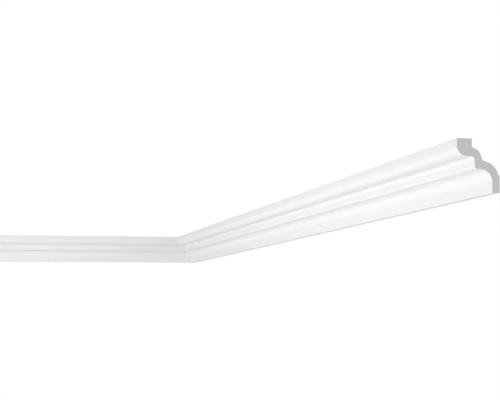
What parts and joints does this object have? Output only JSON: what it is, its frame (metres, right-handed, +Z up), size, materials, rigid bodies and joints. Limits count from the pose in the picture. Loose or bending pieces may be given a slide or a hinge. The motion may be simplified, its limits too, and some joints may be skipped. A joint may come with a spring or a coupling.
{
  "type": "cornice moulding",
  "caption": "Stepped cornice moulding with an ovolo and a cove, relieved behind, as a long and a short length mitred into an inside corner.",
  "frame": {"origin": "middle of the long length's wall flange: half way along its wall length and half way up the flange, on the wall", "axes": "+X along the long length from the mitred inside corner to its square-cut end, +Y out of the back of the long length into its wall, +Z up to the ceiling; the short length runs along -Y from the low-X end"},
  "size_m": [2, 0.45, 0.055],
  "materials": {
    "primed_foam": "smooth white prime coat over hard foam, matte; the saw-cut ends show the light grey foam"
  },
  "bodies": {
    "root": {"long_cornice_length": "primed_foam", "short_cornice_length": "primed_foam"}
  },
  "joints": []
}
